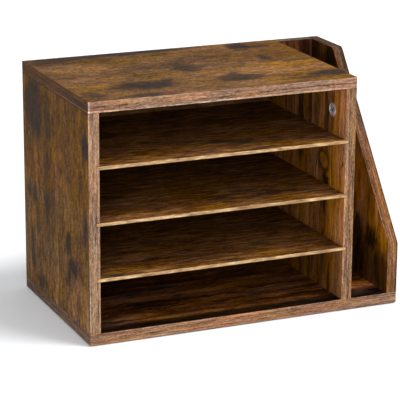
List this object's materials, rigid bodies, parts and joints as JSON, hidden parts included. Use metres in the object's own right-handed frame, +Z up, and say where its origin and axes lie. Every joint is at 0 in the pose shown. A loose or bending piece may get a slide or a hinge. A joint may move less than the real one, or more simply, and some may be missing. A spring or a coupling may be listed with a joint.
{
  "type": "document organizer",
  "caption": "Wood-grain desk document organizer: open-front paper compartments with pull-out shelves, and a file compartment beside them behind a sloping side panel.",
  "frame": {"origin": "middle of the footprint, on the surface that the foot pads stand on", "axes": "+X to the right as seen from the open front, towards the file compartment; +Y to the rear; +Z up"},
  "size_m": [0.45, 0.26, 0.3265],
  "materials": {
    "laminated_board": "rustic brown wood-grain laminate on particleboard, satin",
    "edge_band": "streaked wood-grain edge tape",
    "shelf_board": "wood-grain laminate on thin fibreboard with bare tan edges",
    "back_board": "printed thin fibreboard",
    "die_cast_zinc": "die-cast, dull bright",
    "zinc_plated_steel": "bright zinc plate",
    "beech": "bare beech",
    "foot_pad": "matt closed-cell foam rubber"
  },
  "bodies": {
    "carcass": {"base_panel": "laminated_board", "base_edge_band": "edge_band", "left_side_panel": "laminated_board", "left_side_edge_band": "edge_band", "divider_panel": "laminated_board", "divider_edge_band": "edge_band", "top_panel": "laminated_board", "top_edge_band": "edge_band", "back_panel": "back_board", "file_outer_panel": "laminated_board", "file_outer_edge_band": "edge_band", "file_back_panel": "laminated_board", "file_back_edge_band": "edge_band", "top_cam_locks": "die_cast_zinc", "top_cam_bolts": "zinc_plated_steel", "file_back_cam_locks": "die_cast_zinc", "file_back_cam_bolts": "zinc_plated_steel", "top_dowels": "beech", "file_back_dowel": "beech", "base_screws": "zinc_plated_steel", "foot_pads": "foot_pad"},
    "upper_shelf": {"upper_shelf": "shelf_board"},
    "middle_shelf": {"middle_shelf": "shelf_board"},
    "lower_shelf": {"lower_shelf": "shelf_board"}
  },
  "joints": [
    {"name": "upper_shelf_slide", "type": "slide", "parent": "carcass", "child": "upper_shelf", "axis": [0, -1, 0], "range_m": [0, 0.25]},
    {"name": "middle_shelf_slide", "type": "slide", "parent": "carcass", "child": "middle_shelf", "axis": [0, -1, 0], "range_m": [0, 0.25]},
    {"name": "lower_shelf_slide", "type": "slide", "parent": "carcass", "child": "lower_shelf", "axis": [0, -1, 0], "range_m": [0, 0.25]}
  ]
}
